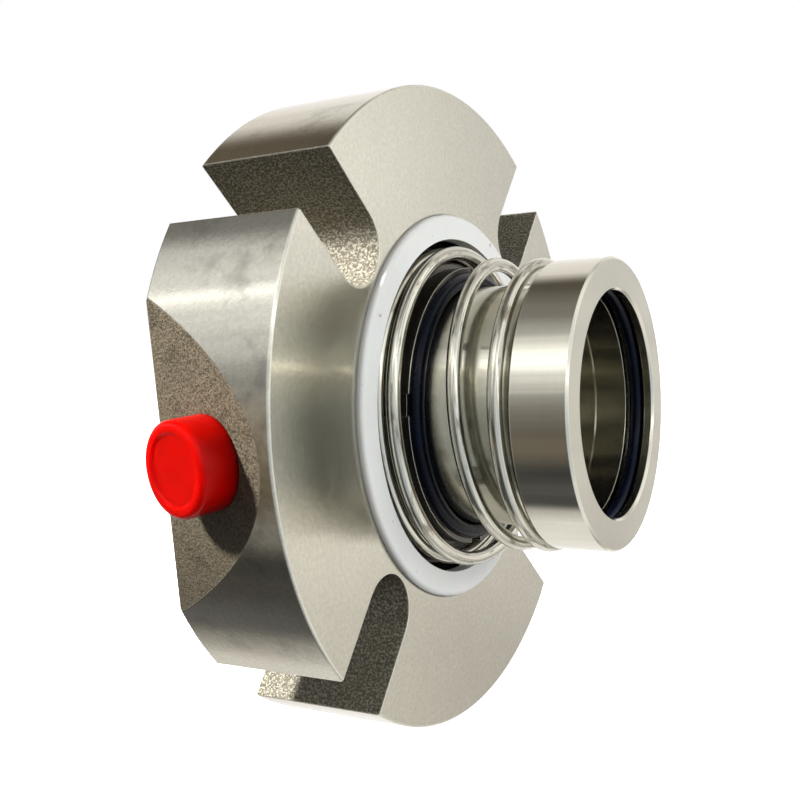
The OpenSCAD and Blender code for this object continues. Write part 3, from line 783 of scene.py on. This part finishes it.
def build_world(settings):
    """Room light for reflections; the camera itself sees plain white."""
    world = bpy.data.worlds.new("studio_room")
    world.use_nodes = True
    graph = Graph(world.node_tree)
    direction = graph.add("ShaderNodeTexCoord").outputs["Generated"]
    x, y, z = graph.split(direction)
    angle = graph.math("ARCTAN2", z, graph.math("MULTIPLY", y, -1.0))
    around = graph.math("ADD", graph.math("DIVIDE", angle, math.tau), 0.5)
    near = light_ring(graph, around, ROOM)
    far = light_ring(graph, around, ROOM_BACK)
    front = light_ring(graph, around, ROOM_FRONT)
    room = graph.mix(graph.rise(x, -0.60, -0.46), far, near)
    room = graph.mix(graph.rise(x, 0.10, 0.30), room, front)
    clutter = graph.noise(graph.join(graph.math("MULTIPLY", angle, 9.0), x, 0.0), 3.0,
                          4.0, 0.7)
    clutter = graph.rise(clutter, 0.3, 0.7, 0.80, 1.16)
    light = graph.add("ShaderNodeBackground")
    graph.feed(light.inputs["Color"], room)
    path = graph.add("ShaderNodeLightPath").outputs
    strength = graph.math("MULTIPLY", clutter, settings.room)
    inboard = graph.rise(x, 0.32, 0.58, 0.72, 1.28)
    outboard = graph.rise(x, 0.10, 0.28, 1.43, 1.0)
    strength = graph.math("MULTIPLY", graph.math("MULTIPLY", strength, inboard), outboard)
    share = graph.rise(path["Is Diffuse Ray"], 0.0, 1.0, 1.0, settings.room_share)
    graph.feed(light.inputs["Strength"], graph.math("MULTIPLY", strength, share))
    plain = graph.add("ShaderNodeBackground")
    plain.inputs["Color"].default_value = (1.0, 1.0, 1.0, 1.0)
    shown = graph.add("ShaderNodeMixShader")
    graph.feed(shown.inputs[0], path["Is Camera Ray"])
    graph.feed(shown.inputs[1], light.outputs[0])
    graph.feed(shown.inputs[2], plain.outputs[0])
    output = graph.add("ShaderNodeOutputWorld")
    graph.feed(output.inputs["Surface"], shown.outputs[0])
    bpy.context.scene.world = world


def build_floor(settings):
    """Plain pale floor under the lowest lobe; the seal itself gets no light from it."""
    finish = Finish("pale_floor")
    speck = finish.noise(finish.place(), 40.0, 2.0, 0.5)
    colour = tuple(settings.floor)
    finish.set("Base Color", finish.mix(speck, tinted(colour, 0.99), colour))
    finish.set("Roughness", 0.8)
    finish.set("Specular IOR Level", 0.1)
    finish.set("Emission Color", (1.0, 1.0, 1.0))
    finish.set("Emission Strength", FLOOR_GLOW)
    turns = [math.tau * i / FLOOR_SEGMENTS for i in range(FLOOR_SEGMENTS)]
    ring = [Vector((math.cos(a), math.sin(a), 0.0)) * settings.floor_radius for a in turns]
    mesh = bpy.data.meshes.new("floor")
    mesh.from_pydata(ring, [], [tuple(range(FLOOR_SEGMENTS))])
    mesh.materials.append(finish.material)
    floor = bpy.data.objects.new("floor", mesh)
    floor.location = (0.0, 0.0, CAD_LOW.z)
    floor.visible_glossy = False
    floor.visible_diffuse = False
    bpy.context.scene.collection.objects.link(floor)


def build_light(name, place, size, power):
    """Soft square light that faces the seal and isn't seen in reflections."""
    data = bpy.data.lights.new(name, "AREA")
    data.shape = "SQUARE"
    data.size = size
    data.energy = power
    lamp = bpy.data.objects.new(name, data)
    lamp.matrix_world = look_at(Vector(place), Vector((0.0, 0.0, 0.0)), 0.0)
    lamp.visible_glossy = False
    lamp.visible_camera = False
    bpy.context.scene.collection.objects.link(lamp)


def build_camera(settings):
    """Camera at the photograph's place, without depth of field."""
    data = bpy.data.cameras.new("camera")
    data.lens = settings.lens
    data.sensor_width = 36.0
    data.clip_start = 0.01
    data.clip_end = 20.0
    camera = bpy.data.objects.new("camera", data)
    camera.matrix_world = look_at(Vector(settings.eye), Vector(settings.aim), settings.roll)
    bpy.context.scene.collection.objects.link(camera)
    bpy.context.scene.camera = camera


# Operators

class CARTRIDGESEAL_OT_gland(bpy.types.Operator):
    """Finish the gland plate: turned faces, clouded rim, cast slots and flat"""
    bl_idname = "cartridge_seal.gland"
    bl_label = "Gland plate"

    def execute(self, context):
        settings = context.scene.cartridge_seal
        dress(gland_steel(settings.gland), "gland")
        dress(gasket_ptfe(tuple(settings.seal.gasket)), "gland_gasket")
        return {"FINISHED"}


class CARTRIDGESEAL_OT_plug(bpy.types.Operator):
    """Finish the flush plug"""
    bl_idname = "cartridge_seal.plug"
    bl_label = "Flush plug"

    def execute(self, context):
        dress(red_plastic(tuple(context.scene.cartridge_seal.seal.plug)), "flush_plug")
        return {"FINISHED"}


class CARTRIDGESEAL_OT_seat(bpy.types.Operator):
    """Finish the stationary seat, its ring and its pin"""
    bl_idname = "cartridge_seal.seat"
    bl_label = "Stationary seat"

    def execute(self, context):
        dress(lapped_face("seat_carbide", (0.060, 0.062, 0.066), 0.22), "seat_ring")
        dress(moulded_rubber("seal_rubber", (0.012, 0.012, 0.013)), "seat_oring")
        dress(plain_steel("pin_steel", (0.62, 0.61, 0.58), 0.28), "seat_pin", "face_pins")
        return {"FINISHED"}


class CARTRIDGESEAL_OT_rotary(bpy.types.Operator):
    """Finish the rotary face, its holder and the dark blue rings"""
    bl_idname = "cartridge_seal.rotary"
    bl_label = "Rotary face"

    def execute(self, context):
        settings = context.scene.cartridge_seal.seal
        dress(lapped_face("face_carbon", (0.022, 0.022, 0.024), 0.30), "face_ring")
        # The holder's near-black steel colour is painted shade around the spring and the rim,
        # and its bright edge colour is a painted highlight.
        dress(turned_steel("holder_steel", (0.085, 0.078, 0.066), 0.20, 0.3 * MM,
                           wear_highlight=(0.85, 0.83, 0.76)), "face_holder")
        dress(moulded_rubber("blue_rubber", tuple(settings.rubber)),
              "face_oring", "sleeve_oring")
        return {"FINISHED"}


class CARTRIDGESEAL_OT_spring(bpy.types.Operator):
    """Build the coil spring in the place of the imported one, which it hides"""
    bl_idname = "cartridge_seal.spring"
    bl_label = "Coil spring"

    def execute(self, context):
        settings = context.scene.cartridge_seal.spring
        piece = build_spring(settings)
        piece.data.materials.append(drawn_wire(tuple(settings.steel)))
        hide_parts("spring")
        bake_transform(piece)
        return {"FINISHED"}


class CARTRIDGESEAL_OT_sleeve(bpy.types.Operator):
    """Finish the shaft sleeve"""
    bl_idname = "cartridge_seal.sleeve"
    bl_label = "Shaft sleeve"

    def execute(self, context):
        colour = tuple(context.scene.cartridge_seal.seal.sleeve)
        dress(turned_steel("sleeve_steel", colour, 0.115, 0.25 * MM), "sleeve")
        return {"FINISHED"}


class CARTRIDGESEAL_OT_drive(bpy.types.Operator):
    """Finish the drive collar, its set screws and the snap ring"""
    bl_idname = "cartridge_seal.drive"
    bl_label = "Drive collar"

    def execute(self, context):
        colour = tuple(context.scene.cartridge_seal.seal.sleeve)
        dress(turned_steel("collar_steel", tinted(colour, 0.97), 0.22, 0.35 * MM, 0.6),
              "drive_collar")
        dress(plain_steel("screw_steel", (0.12, 0.12, 0.125), 0.34), "set_screws")
        dress(plain_steel("spring_steel", (0.20, 0.19, 0.18), 0.30), "snap_ring")
        return {"FINISHED"}


class CARTRIDGESEAL_OT_clips(bpy.types.Operator):
    """Finish the setting clips and their screws"""
    bl_idname = "cartridge_seal.clips"
    bl_label = "Setting clips"

    def execute(self, context):
        dress(plain_steel("clip_steel", (0.66, 0.64, 0.58), 0.30),
              "clip_1", "clip_2", "clip_3", "clip_4")
        dress(plain_steel("clip_screw_steel", (0.62, 0.61, 0.58), 0.26), "clip_screws")
        return {"FINISHED"}


class CARTRIDGESEAL_OT_stage(bpy.types.Operator):
    """Build the camera, the floor and the light"""
    bl_idname = "cartridge_seal.stage"
    bl_label = "Studio"

    def execute(self, context):
        settings = context.scene.cartridge_seal.studio
        build_camera(settings)
        build_world(settings)
        build_floor(settings)
        build_light("fill_light", FILL_PLACE, FILL_SIZE, settings.fill)
        build_light("key_light", KEY_PLACE, KEY_SIZE, settings.key)
        context.scene.view_settings.view_transform = "Standard"
        return {"FINISHED"}


class CARTRIDGESEAL_PT_panel(bpy.types.Panel):
    """Buttons for the pieces of the seal and its settings"""
    bl_idname = "CARTRIDGESEAL_PT_panel"
    bl_label = "Cartridge Seal"
    bl_space_type = "VIEW_3D"
    bl_region_type = "UI"
    bl_category = "Cartridge Seal"

    def draw(self, context):
        settings = context.scene.cartridge_seal
        for operator in OPERATORS:
            self.layout.operator(operator.bl_idname)
        for part in (settings.gland, settings.spring, settings.seal, settings.studio):
            box = self.layout.box()
            for name in part.__annotations__:
                box.prop(part, name)


SETTINGS = (GlandSettings, SpringSettings, SealSettings, StudioSettings,
            CartridgeSealSettings)
OPERATORS = (CARTRIDGESEAL_OT_stage, CARTRIDGESEAL_OT_gland, CARTRIDGESEAL_OT_plug,
             CARTRIDGESEAL_OT_seat, CARTRIDGESEAL_OT_rotary, CARTRIDGESEAL_OT_spring,
             CARTRIDGESEAL_OT_sleeve, CARTRIDGESEAL_OT_drive, CARTRIDGESEAL_OT_clips)


def register():
    for cls in (*SETTINGS, *OPERATORS, CARTRIDGESEAL_PT_panel):
        bpy.utils.register_class(cls)
    bpy.types.Scene.cartridge_seal = PointerProperty(type=CartridgeSealSettings)


def unregister():
    del bpy.types.Scene.cartridge_seal
    for cls in reversed((*SETTINGS, *OPERATORS, CARTRIDGESEAL_PT_panel)):
        bpy.utils.unregister_class(cls)


def main():
    """Builds everything."""
    register()
    for operator in OPERATORS:
        name = operator.bl_idname.split(".")[1]
        getattr(bpy.ops.cartridge_seal, name)()


if __name__ == "__main__":
    main()
